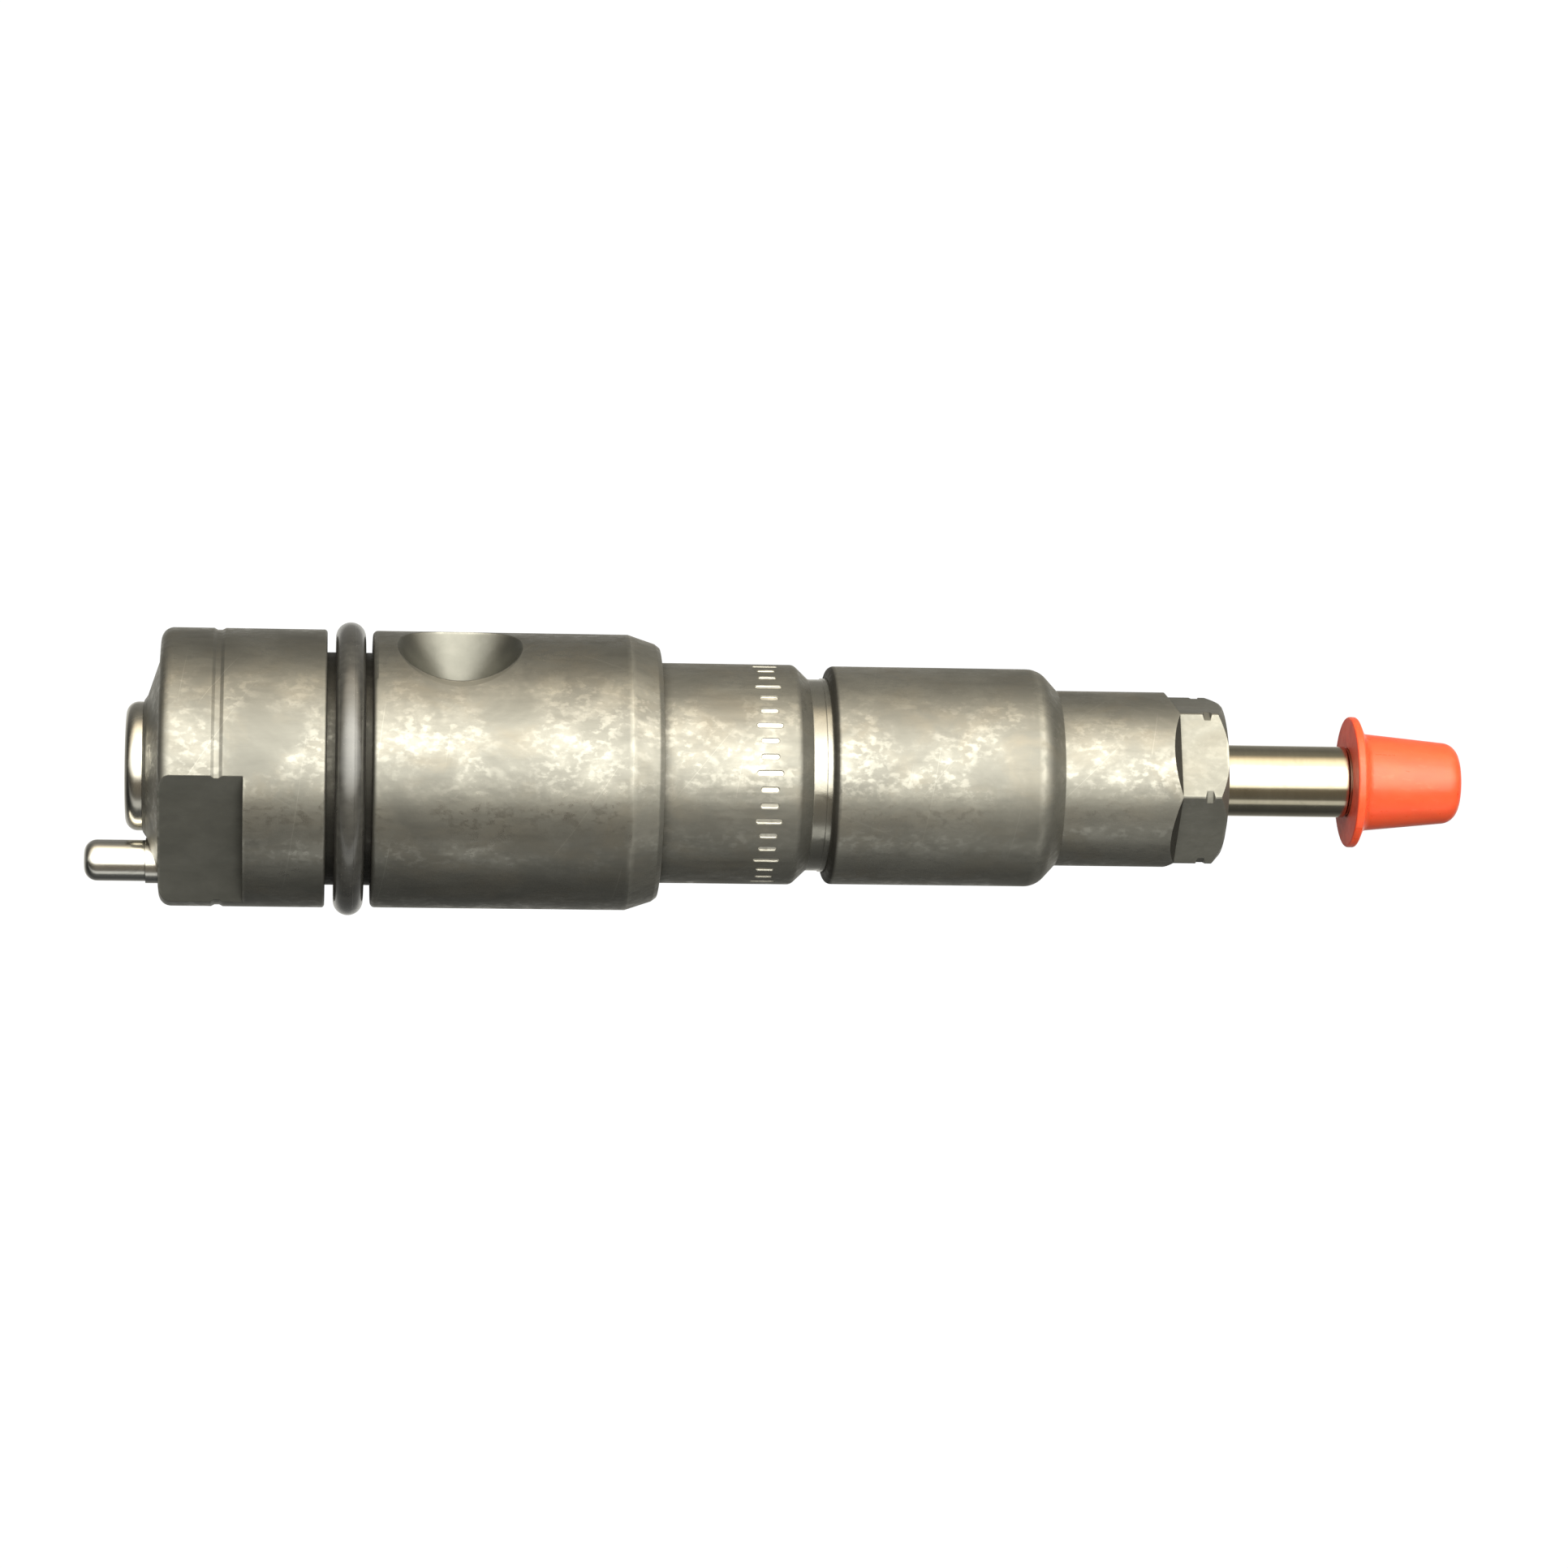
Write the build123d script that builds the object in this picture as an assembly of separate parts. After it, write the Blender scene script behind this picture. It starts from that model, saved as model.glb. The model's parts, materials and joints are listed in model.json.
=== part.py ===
from build123d import *
import math
import os

# Mechanical diesel fuel injector: a nozzle and holder assembly, in millimetres.
# +X runs along the injector from the head to the nozzle tip.
# +Z is the axis of the lateral fuel inlet.
# The origin is the centre of the sealing face, at the front end of the retaining nut.
# Angles round the injector are measured from +Z towards -Y.

# Holder, outside: stations along X, from the head forwards
HEAD_NOSE_X = -105.1
FLARE_FOOT_X = -104.76
HEAD_FACE_X = -103.5
MARK_GROOVE_X = -97.9
FLATS_END_X = -95.4
HEAD_END_X = -87.55
GUIDE_START_X = -83.15
INLET_X = -74.85
LEAD_IN_START_X = -58.4
LEAD_IN_END_X = -55.8
GUIDE_END_X = -55.35
LEAK_OFF_X = -50.0
MIDDLE_TAPER_X = -42.2
MIDDLE_END_X = -40.75
THREAD_START_X = -39.45
THREAD_END_X = -29.6
HOLDER_FRONT_X = -28.0

# Holder, outside: diameters and edges
HEAD_DIAMETER = 27.0
GUIDE_DIAMETER = 26.9
LEAD_IN_DIAMETER = 25.15
MIDDLE_DIAMETER = 21.5
NECK_DIAMETER = 18.75
THREAD_DIAMETER = 18.95
SPIGOT_DIAMETER = 17.2
NOSE_DIAMETER = 12.8
FLARE_FOOT_DIAMETER = 13.8
FLARE_DIAMETER = 21.4
HEAD_CORNER = 1.2
EDGE_BREAK = 0.3
GUIDE_CORNER = 0.5
LEAD_IN_CORNER = 0.35
MIDDLE_CORNER = 0.8
MARK_GROOVE_WIDTH = 1.15
MARK_GROOVE_DEPTH = 0.18
O_RING_FLOOR_DIAMETER = 22.6
FLATS_WIDTH = 22.0
FLATS_ANGLE = 102.1
SEAM_TURN = 22.5

# Fuel inlet and passages in the holder
INLET_DIAMETER = 12.1
INLET_CONE_ANGLE = 60.0
INLET_BOTTOM_DIAMETER = 3.2
INLET_BOTTOM_DEPTH = 1.5
PASSAGE_DIAMETER = 2.2
PASSAGE_OFFSET = 6.9
LEAK_OFF_DIAMETER = 2.4
LEAK_OFF_ANGLE = 225.0
CHAMBER_DIAMETER = 9.4
CHAMBER_END_X = -62.0

# Engraved strokes on the middle section, in a row along part of its circumference
STROKE_X = -45.1
STROKE_LENGTHS = (2.5, 1.7, 1.7)
STROKE_WIDTH = 0.45
STROKE_DEPTH = 0.12
STROKE_FIRST_ANGLE = -14.0
STROKE_PITCH_ANGLE = 8.5
STROKES = 19

# Head fittings
BUTTON_FACE_X = -106.8
BUTTON_DIAMETER = 12.5
BUTTON_CORNER = 1.2
BUTTON_STEM_DIAMETER = 8.0
BUTTON_STEM_LENGTH = 6.0
PIN_TIP_X = -110.7
PIN_SHOULDER_X = -104.8
PIN_END_X = -98.2
PIN_DIAMETER = 4.0
PIN_PRESSED_DIAMETER = 4.4
PIN_TIP_RADIUS = 1.25
PIN_OFFSET = 9.15
PIN_ANGLE = 150.5
O_RING_CORD = 2.9
O_RING_X = -85.28

# Spring pack in the holder
SHIM_THICKNESS = 0.8
WASHER_THICKNESS = 2.0
WASHER_DIAMETER = 9.1
WASHER_BORE = 3.0
SPRING_MEAN_DIAMETER = 6.3
SPRING_WIRE = 2.0
SPRING_PITCH = 3.0
SPRING_CLOSED_TURNS = 1.0
SEAT_BACK_X = -31.6
SEAT_FRONT_X = -29.4
SEAT_DIAMETER = 9.0
SEAT_PILOT_DIAMETER = 4.0
SEAT_PILOT_LENGTH = 3.0
PRESSURE_PIN_DIAMETER = 3.2
PRESSURE_PIN_HEAD_DIAMETER = 5.6
PRESSURE_PIN_HEAD_LENGTH = 1.2

# Intermediate disc and dowels
DISC_FRONT_X = -22.0
DISC_DIAMETER = 16.8
DISC_BORE = 3.8
DOWEL_DIAMETER = 2.0
HOLDER_DOWEL_OFFSET = 6.7
HOLDER_DOWEL_ANGLES = (128.0, 236.0)
HOLDER_DOWEL_DEPTH = 3.5
NOZZLE_DOWEL_OFFSET = 4.9
NOZZLE_DOWEL_ANGLES = (105.0, 262.0)
NOZZLE_DOWEL_DEPTH = 2.2
DOWEL_HOLE_SPARE = 0.4

# Nozzle
COLLAR_DIAMETER = 14.3
COLLAR_END_X = -5.0
ROOT_DIAMETER = 7.8
SHANK_DIAMETER = 7.0
SHANK_END_X = 12.6
FRONT_SHANK_DIAMETER = 6.6
TIP_CONE_X = 17.5
TIP_DOME_X = 20.6
TIP_DOME_DIAMETER = 2.5
TIP_END_X = 21.5
GALLERY_START_X = -13.5
GALLERY_END_X = -8.5
GALLERY_DIAMETER = 7.4
GUIDE_BORE = 4.5
SHAFT_BORE = 4.0
SEAT_CONE_X = 17.6
SEAT_CONE_ANGLE = 60.0
SAC_DIAMETER = 1.1
SAC_LENGTH = 0.5
NOZZLE_PASSAGE_DIAMETER = 2.0
NOZZLE_PASSAGE_OFFSET = 5.1
SPRAY_HOLES = 8
SPRAY_HOLE_DIAMETER = 0.22
SPRAY_HOLE_X = 20.35
SPRAY_CONE_ANGLE = 150.0

# Needle
NEEDLE_LIFT = 0.3
NEEDLE_CLEARANCE = 0.02
NEEDLE_SEAT_GAP = 0.05
NEEDLE_GUIDE_END_X = -13.0
NEEDLE_SHAFT_DIAMETER = 3.2
NEEDLE_PINTLE_DIAMETER = 2.8
NEEDLE_PINTLE_X = -24.0
CONTACT_GAP = 0.02

# Retaining nut
NUT_REAR_X = -38.9
NUT_SHOULDER_X = -18.1
NUT_SHOULDER_END_X = -16.2
HEX_START_X = -4.65
NUT_DIAMETER = 21.35
NUT_SMALL_DIAMETER = 17.2
HEX_WIDTH = 15.0
HEX_CORNER_ANGLE = 74.3
HEX_RUN_OUT = 0.9
HEX_RUN_OUT_RISE = 1.15
HEX_GROOVE_X = -2.0
HEX_GROOVE_WIDTH = 1.5
HEX_GROOVE_DEPTH = 0.28
HEX_END_CHAMFER = 0.9
HEX_END_DIAMETER = 15.1
NUT_REAR_CORNER = 0.75
NUT_SHOULDER_ROUNDING = 2.4
NUT_THREAD_BORE = 19.0
NUT_THREAD_END_X = -29.4
NUT_DISC_BORE = 17.5
NUT_STEP_START_X = -20.8
NUT_STEP_END_X = -19.2
NUT_COLLAR_BORE = 14.6
NUT_END_BORE = 8.0
NUT_END_CHAMFER = 0.25

# Protective cap
CAP_MOUTH_X = 13.0
FLANGE_THICKNESS = 0.75
FLANGE_DIAMETER = 12.9
FLANGE_ROUNDING = 0.25
CAP_ROOT_X = 14.5
CAP_ROOT_DIAMETER = 9.6
CAP_END_X = 24.0
CAP_END_DIAMETER = 7.7
CAP_END_RADIUS = 1.6
CAP_ROOT_RADIUS = 0.6
CAP_BORE = 6.75
CAP_BORE_END_X = 22.4
CAP_BORE_TAPER = 1.5


def around(angle, distance, x=0.0):
    """The point at a distance from the injector's axis, at an angle from +Z towards -Y."""
    turn = math.radians(angle)
    return Vector(x, -distance * math.sin(turn), distance * math.cos(turn))


def turned(*outline):
    """A solid of revolution about the injector's axis, from (x, diameter) corners."""
    corners = [(x, diameter / 2) for x, diameter in outline]
    return revolve(make_face(Polyline(*corners, close=True)), axis=Axis.X)


def rod(start, end, diameter):
    """A straight round bar, or a drilling, between two points."""
    start, end = Vector(start), Vector(end)
    plane = Plane(origin=start, z_dir=end - start)
    return extrude(plane * Circle(diameter / 2), amount=(end - start).length)


def rims(solid, *places):
    """The circular edges of a turned solid at the given (x, diameter) places."""
    found = ShapeList()
    for edge in solid.edges().filter_by(GeomType.CIRCLE):
        centre = edge.arc_center
        on_axis = abs(centre.Y) < 1e-3 and abs(centre.Z) < 1e-3
        for x, diameter in places:
            if on_axis and abs(centre.X - x) < 1e-3 and abs(2 * edge.radius - diameter) < 1e-3:
                found.append(edge)
    return found


def holder_outside():
    body = turned(
        (HEAD_NOSE_X, 0),
        (HEAD_NOSE_X, NOSE_DIAMETER),
        (FLARE_FOOT_X, FLARE_FOOT_DIAMETER),
        (HEAD_FACE_X, FLARE_DIAMETER),
        (HEAD_FACE_X, HEAD_DIAMETER),
        (HEAD_END_X, HEAD_DIAMETER),
        (HEAD_END_X, O_RING_FLOOR_DIAMETER),
        (GUIDE_START_X, O_RING_FLOOR_DIAMETER),
        (GUIDE_START_X, GUIDE_DIAMETER),
        (LEAD_IN_START_X, GUIDE_DIAMETER),
        (LEAD_IN_END_X, LEAD_IN_DIAMETER),
        (GUIDE_END_X, LEAD_IN_DIAMETER - 2 * LEAD_IN_CORNER),
        (GUIDE_END_X, MIDDLE_DIAMETER),
        (MIDDLE_TAPER_X, MIDDLE_DIAMETER),
        (MIDDLE_END_X, NECK_DIAMETER),
        (THREAD_START_X, NECK_DIAMETER),
        (THREAD_START_X, THREAD_DIAMETER),
        (THREAD_END_X, THREAD_DIAMETER),
        (THREAD_END_X, SPIGOT_DIAMETER),
        (HOLDER_FRONT_X, SPIGOT_DIAMETER),
        (HOLDER_FRONT_X, 0),
    )
    body = fillet(rims(body, (HEAD_FACE_X, HEAD_DIAMETER)), HEAD_CORNER)
    body = fillet(rims(body, (MIDDLE_TAPER_X, MIDDLE_DIAMETER)), MIDDLE_CORNER)
    body = fillet(rims(body, (GUIDE_START_X, GUIDE_DIAMETER)), GUIDE_CORNER)
    body = fillet(rims(body, (HEAD_END_X, HEAD_DIAMETER), (LEAD_IN_END_X, LEAD_IN_DIAMETER)), EDGE_BREAK)
    # turned so that no surface's seam lies near the inlet
    return Rot(SEAM_TURN, 0, 0) * body


def mark_groove():
    """The shallow identification groove round the head."""
    half = MARK_GROOVE_WIDTH / 2
    floor = HEAD_DIAMETER - 2 * MARK_GROOVE_DEPTH
    return turned(
        (MARK_GROOVE_X - half, HEAD_DIAMETER + 1),
        (MARK_GROOVE_X - half, HEAD_DIAMETER),
        (MARK_GROOVE_X - 0.4 * half, floor),
        (MARK_GROOVE_X + 0.4 * half, floor),
        (MARK_GROOVE_X + half, HEAD_DIAMETER),
        (MARK_GROOVE_X + half, HEAD_DIAMETER + 1),
    )


def head_flat(angle):
    """The material milled away outside one wrench flat."""
    length = FLATS_END_X - PIN_TIP_X
    plane = Plane(origin=around(angle, FLATS_WIDTH / 2, PIN_TIP_X), x_dir=(1, 0, 0), z_dir=around(angle, 1))
    outline = plane * Pos(length / 2, 0) * Rectangle(length, HEAD_DIAMETER)
    return extrude(outline, amount=HEAD_DIAMETER)


def strokes():
    """A graduated row of short engraved strokes, one long to every two short."""
    cuts = []
    for n in range(STROKES):
        length = STROKE_LENGTHS[n % len(STROKE_LENGTHS)]
        angle = STROKE_FIRST_ANGLE + n * STROKE_PITCH_ANGLE
        origin = around(angle, MIDDLE_DIAMETER / 2 - STROKE_DEPTH, STROKE_X)
        plane = Plane(origin=origin, x_dir=(1, 0, 0), z_dir=around(angle, 1))
        cuts.append(extrude(plane * SlotOverall(length, STROKE_WIDTH), amount=1.0, taper=-20))
    return cuts


def inlet():
    """The conical seat for the fuel pipe, with its drilled bottom."""
    slope = math.tan(math.radians(INLET_CONE_ANGLE / 2))
    mouth_z = GUIDE_DIAMETER / 2
    bottom_z = mouth_z - (INLET_DIAMETER - INLET_BOTTOM_DIAMETER) / 2 / slope
    over = 3.0
    profile = Polyline(
        (INLET_X, 0, bottom_z - INLET_BOTTOM_DEPTH),
        (INLET_X + INLET_BOTTOM_DIAMETER / 2, 0, bottom_z - INLET_BOTTOM_DEPTH),
        (INLET_X + INLET_BOTTOM_DIAMETER / 2, 0, bottom_z),
        (INLET_X + INLET_DIAMETER / 2 + over * slope, 0, mouth_z + over),
        (INLET_X, 0, mouth_z + over),
        close=True,
    )
    return revolve(make_face(profile), axis=Axis((INLET_X, 0, 0), (0, 0, 1)))


def holder_body():
    body = holder_outside()
    body -= mark_groove()
    body -= strokes()
    body -= head_flat(FLATS_ANGLE) + head_flat(FLATS_ANGLE + 180)
    body -= inlet()
    body -= rod((INLET_X, 0, PASSAGE_OFFSET), (HOLDER_FRONT_X + 1, 0, PASSAGE_OFFSET), PASSAGE_DIAMETER)
    body -= rod((CHAMBER_END_X, 0, 0), (HOLDER_FRONT_X + 1, 0, 0), CHAMBER_DIAMETER)
    leak_off_start = around(LEAK_OFF_ANGLE, 2, LEAK_OFF_X)
    body -= rod(leak_off_start, around(LEAK_OFF_ANGLE, 14, LEAK_OFF_X), LEAK_OFF_DIAMETER)
    stem_end = HEAD_NOSE_X + BUTTON_STEM_LENGTH
    body -= rod((HEAD_NOSE_X - 2, 0, 0), (stem_end, 0, 0), BUTTON_STEM_DIAMETER)
    pin_tip = around(PIN_ANGLE, PIN_OFFSET, PIN_TIP_X)
    body -= rod(pin_tip, around(PIN_ANGLE, PIN_OFFSET, PIN_END_X), PIN_PRESSED_DIAMETER)
    for angle in HOLDER_DOWEL_ANGLES:
        body -= dowel_hole(angle, HOLDER_DOWEL_OFFSET, HOLDER_FRONT_X, -HOLDER_DOWEL_DEPTH)
    return body


def dowel_hole(angle, offset, face_x, depth):
    """A dowel's hole drilled from a face: a negative depth runs towards the head."""
    outside_x = face_x - math.copysign(0.5, depth)
    bottom_x = face_x + depth + math.copysign(DOWEL_HOLE_SPARE, depth)
    return rod(around(angle, offset, outside_x), around(angle, offset, bottom_x), DOWEL_DIAMETER)


def dowel(angle, offset, face_x, depth):
    """A dowel with broken ends, half on each side of a face."""
    pin = rod(around(angle, offset, face_x - depth), around(angle, offset, face_x + depth), DOWEL_DIAMETER)
    return chamfer(pin.edges().filter_by(GeomType.CIRCLE), 0.25)


def thrust_button():
    button = turned(
        (BUTTON_FACE_X, 0),
        (BUTTON_FACE_X, BUTTON_DIAMETER),
        (HEAD_NOSE_X, BUTTON_DIAMETER),
        (HEAD_NOSE_X, BUTTON_STEM_DIAMETER),
        (HEAD_NOSE_X + BUTTON_STEM_LENGTH, BUTTON_STEM_DIAMETER),
        (HEAD_NOSE_X + BUTTON_STEM_LENGTH, 0),
    )
    return fillet(rims(button, (BUTTON_FACE_X, BUTTON_DIAMETER)), BUTTON_CORNER)


def locating_pin():
    pin = turned(
        (PIN_TIP_X, 0),
        (PIN_TIP_X, PIN_DIAMETER),
        (PIN_SHOULDER_X, PIN_DIAMETER),
        (PIN_SHOULDER_X, PIN_PRESSED_DIAMETER),
        (PIN_END_X, PIN_PRESSED_DIAMETER),
        (PIN_END_X, 0),
    )
    pin = fillet(rims(pin, (PIN_TIP_X, PIN_DIAMETER)), PIN_TIP_RADIUS)
    return Pos(around(PIN_ANGLE, PIN_OFFSET)) * pin


def body_o_ring():
    section = Pos(O_RING_X, (O_RING_FLOOR_DIAMETER + O_RING_CORD) / 2 + 0.03) * Circle(O_RING_CORD / 2)
    return revolve(section, axis=Axis.X)


def ring(start_x, end_x, outside, inside):
    return turned((start_x, inside), (start_x, outside), (end_x, outside), (end_x, inside))


def pressure_shim():
    return ring(CHAMBER_END_X, CHAMBER_END_X + SHIM_THICKNESS, WASHER_DIAMETER, WASHER_BORE)


def spring_washer():
    start_x = CHAMBER_END_X + SHIM_THICKNESS
    washer = ring(start_x, start_x + WASHER_THICKNESS, WASHER_DIAMETER, WASHER_BORE)
    return chamfer(rims(washer, (start_x + WASHER_THICKNESS, WASHER_DIAMETER)), EDGE_BREAK)


def nozzle_spring():
    """A round-wire compression spring with one closed turn and a ground face at each end."""
    start_x = CHAMBER_END_X + SHIM_THICKNESS + WASHER_THICKNESS
    length = SEAT_BACK_X - start_x
    closed_rise = SPRING_WIRE * 1.05 * SPRING_CLOSED_TURNS
    active_rise = length - 2 * closed_rise
    turns = round(active_rise / SPRING_PITCH)
    radius = SPRING_MEAN_DIAMETER / 2
    closed_pitch = closed_rise / SPRING_CLOSED_TURNS
    first = Helix(closed_pitch, closed_rise, radius)
    middle = Pos(0, 0, closed_rise) * Helix(active_rise / turns, active_rise, radius)
    last = Pos(0, 0, closed_rise + active_rise) * Helix(closed_pitch, closed_rise, radius)
    path = Wire([*first.edges(), *middle.edges(), *last.edges()])
    wire = sweep(Plane(origin=path @ 0, z_dir=path % 0) * Circle(SPRING_WIRE / 2), path=path, is_frenet=True)
    ground = Pos(0, 0, length / 2) * Box(2 * SPRING_MEAN_DIAMETER, 2 * SPRING_MEAN_DIAMETER, length)
    spring = wire & ground
    return Pos(start_x, 0, 0) * Rot(0, 90, 0) * spring


def spring_seat():
    seat = turned(
        (SEAT_BACK_X - SEAT_PILOT_LENGTH, 0),
        (SEAT_BACK_X - SEAT_PILOT_LENGTH, SEAT_PILOT_DIAMETER),
        (SEAT_BACK_X, SEAT_PILOT_DIAMETER),
        (SEAT_BACK_X, SEAT_DIAMETER),
        (SEAT_FRONT_X, SEAT_DIAMETER),
        (SEAT_FRONT_X, 0),
    )
    return fillet(rims(seat, (SEAT_BACK_X - SEAT_PILOT_LENGTH, SEAT_PILOT_DIAMETER)), 0.8)


def pressure_pin():
    head_end_x = SEAT_FRONT_X + PRESSURE_PIN_HEAD_LENGTH
    return turned(
        (SEAT_FRONT_X, 0),
        (SEAT_FRONT_X, PRESSURE_PIN_HEAD_DIAMETER),
        (head_end_x, PRESSURE_PIN_HEAD_DIAMETER),
        (head_end_x, PRESSURE_PIN_DIAMETER),
        (NEEDLE_PINTLE_X - CONTACT_GAP, PRESSURE_PIN_DIAMETER),
        (NEEDLE_PINTLE_X - CONTACT_GAP, 0),
    )


def intermediate_disc():
    disc = ring(HOLDER_FRONT_X, DISC_FRONT_X, DISC_DIAMETER, DISC_BORE)
    disc = chamfer(rims(disc, (HOLDER_FRONT_X, DISC_DIAMETER), (DISC_FRONT_X, DISC_DIAMETER)), EDGE_BREAK)
    run = Vector(DISC_FRONT_X - HOLDER_FRONT_X, 0, NOZZLE_PASSAGE_OFFSET - PASSAGE_OFFSET)
    start = Vector(HOLDER_FRONT_X, 0, PASSAGE_OFFSET)
    disc -= rod(start - run * 0.2, start + run * 1.2, NOZZLE_PASSAGE_DIAMETER)
    for angle in HOLDER_DOWEL_ANGLES:
        disc -= dowel_hole(angle, HOLDER_DOWEL_OFFSET, HOLDER_FRONT_X, HOLDER_DOWEL_DEPTH)
    for angle in NOZZLE_DOWEL_ANGLES:
        disc -= dowel_hole(angle, NOZZLE_DOWEL_OFFSET, DISC_FRONT_X, -NOZZLE_DOWEL_DEPTH)
    return disc


def holder_dowels():
    shared = (HOLDER_DOWEL_OFFSET, HOLDER_FRONT_X, HOLDER_DOWEL_DEPTH)
    pair = [dowel(angle, *shared) for angle in HOLDER_DOWEL_ANGLES]
    return Compound(pair)


def nozzle_dowels():
    shared = (NOZZLE_DOWEL_OFFSET, DISC_FRONT_X, NOZZLE_DOWEL_DEPTH)
    pair = [dowel(angle, *shared) for angle in NOZZLE_DOWEL_ANGLES]
    return Compound(pair)


def nozzle_body():
    body = turned(
        (DISC_FRONT_X, 0),
        (DISC_FRONT_X, COLLAR_DIAMETER),
        (COLLAR_END_X, COLLAR_DIAMETER),
        (COLLAR_END_X, ROOT_DIAMETER),
        (-0.5, ROOT_DIAMETER),
        (-0.1, SHANK_DIAMETER),
        (SHANK_END_X, SHANK_DIAMETER),
        (SHANK_END_X + 0.2, FRONT_SHANK_DIAMETER),
        (TIP_CONE_X, FRONT_SHANK_DIAMETER),
        (TIP_DOME_X, TIP_DOME_DIAMETER),
        (TIP_END_X, TIP_DOME_DIAMETER - 0.9),
        (TIP_END_X, 0),
    )
    body = fillet(rims(body, (TIP_END_X, TIP_DOME_DIAMETER - 0.9)), 0.7)
    body = chamfer(rims(body, (DISC_FRONT_X, COLLAR_DIAMETER), (COLLAR_END_X, COLLAR_DIAMETER)), EDGE_BREAK)
    body -= nozzle_bore()
    gallery_middle = (GALLERY_START_X + GALLERY_END_X) / 2
    start = Vector(DISC_FRONT_X, 0, NOZZLE_PASSAGE_OFFSET)
    run = Vector(gallery_middle, 0, GALLERY_DIAMETER / 2 - 0.8) - start
    body -= rod(start - run * 0.1, start + run, NOZZLE_PASSAGE_DIAMETER)
    for angle in NOZZLE_DOWEL_ANGLES:
        body -= dowel_hole(angle, NOZZLE_DOWEL_OFFSET, DISC_FRONT_X, NOZZLE_DOWEL_DEPTH)
    return body - spray_holes()


def seat_cone_end_x():
    slope = math.tan(math.radians(SEAT_CONE_ANGLE / 2))
    return SEAT_CONE_X + (SHAFT_BORE - SAC_DIAMETER) / 2 / slope


def nozzle_bore():
    """The needle's guide bore, the fuel gallery, the shaft bore, the seat cone and the sac."""
    sac_x = seat_cone_end_x()
    return turned(
        (DISC_FRONT_X - 1, 0),
        (DISC_FRONT_X - 1, GUIDE_BORE),
        (GALLERY_START_X, GUIDE_BORE),
        (GALLERY_START_X + 1.2, GALLERY_DIAMETER),
        (GALLERY_END_X - 1.2, GALLERY_DIAMETER),
        (GALLERY_END_X, SHAFT_BORE),
        (SEAT_CONE_X, SHAFT_BORE),
        (sac_x, SAC_DIAMETER),
        (sac_x + SAC_LENGTH, SAC_DIAMETER),
        (sac_x + SAC_LENGTH + 0.25, 0),
    )


def spray_holes():
    """The ring of fine holes that lead out of the sac."""
    reach = 2.0
    lean = math.radians(SPRAY_CONE_ANGLE / 2)
    holes = []
    for n in range(SPRAY_HOLES):
        outer = around(360 * n / SPRAY_HOLES, reach * math.sin(lean), SPRAY_HOLE_X + reach * math.cos(lean))
        holes.append(rod((SPRAY_HOLE_X, 0, 0), outer, SPRAY_HOLE_DIAMETER))
    return holes


def nozzle_needle():
    slope = math.tan(math.radians(SEAT_CONE_ANGLE / 2))
    guide = GUIDE_BORE - 2 * NEEDLE_CLEARANCE
    cone_end_x = seat_cone_end_x() - NEEDLE_SEAT_GAP
    cone_start_x = cone_end_x - (NEEDLE_SHAFT_DIAMETER - SAC_DIAMETER) / 2 / slope
    return turned(
        (NEEDLE_PINTLE_X, 0),
        (NEEDLE_PINTLE_X, NEEDLE_PINTLE_DIAMETER),
        (DISC_FRONT_X + NEEDLE_LIFT + CONTACT_GAP, NEEDLE_PINTLE_DIAMETER),
        (DISC_FRONT_X + NEEDLE_LIFT + CONTACT_GAP, guide),
        (NEEDLE_GUIDE_END_X, guide),
        (NEEDLE_GUIDE_END_X + 0.6, NEEDLE_SHAFT_DIAMETER),
        (cone_start_x, NEEDLE_SHAFT_DIAMETER),
        (cone_end_x, SAC_DIAMETER),
        (cone_end_x + 0.3, 0),
    )


def nut_outside():
    nut = turned(
        (NUT_REAR_X, 0),
        (NUT_REAR_X, NUT_DIAMETER),
        (NUT_SHOULDER_X, NUT_DIAMETER),
        (NUT_SHOULDER_END_X, NUT_SMALL_DIAMETER),
        (0, NUT_SMALL_DIAMETER),
        (0, 0),
    )
    nut = fillet(rims(nut, (NUT_REAR_X, NUT_DIAMETER)), NUT_REAR_CORNER)
    return fillet(rims(nut, (NUT_SHOULDER_X, NUT_DIAMETER)), NUT_SHOULDER_ROUNDING)


def hexagon():
    """What the hexagon leaves standing: six flats whose rear ends run out in a slope."""
    corner = around(HEX_CORNER_ANGLE, 1)
    plane = Plane(origin=(HEX_START_X, 0, 0), x_dir=corner, z_dir=(1, 0, 0))
    core = plane * RegularPolygon(HEX_WIDTH / 2, 6, major_radius=False)
    slope_plane = Plane(origin=(HEX_START_X - HEX_RUN_OUT, 0, 0), x_dir=corner, z_dir=(1, 0, 0))
    wide = slope_plane * RegularPolygon(HEX_WIDTH / 2 + HEX_RUN_OUT_RISE, 6, major_radius=False)
    return loft([wide.face(), core.face()]) + extrude(core, amount=-HEX_START_X)


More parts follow.
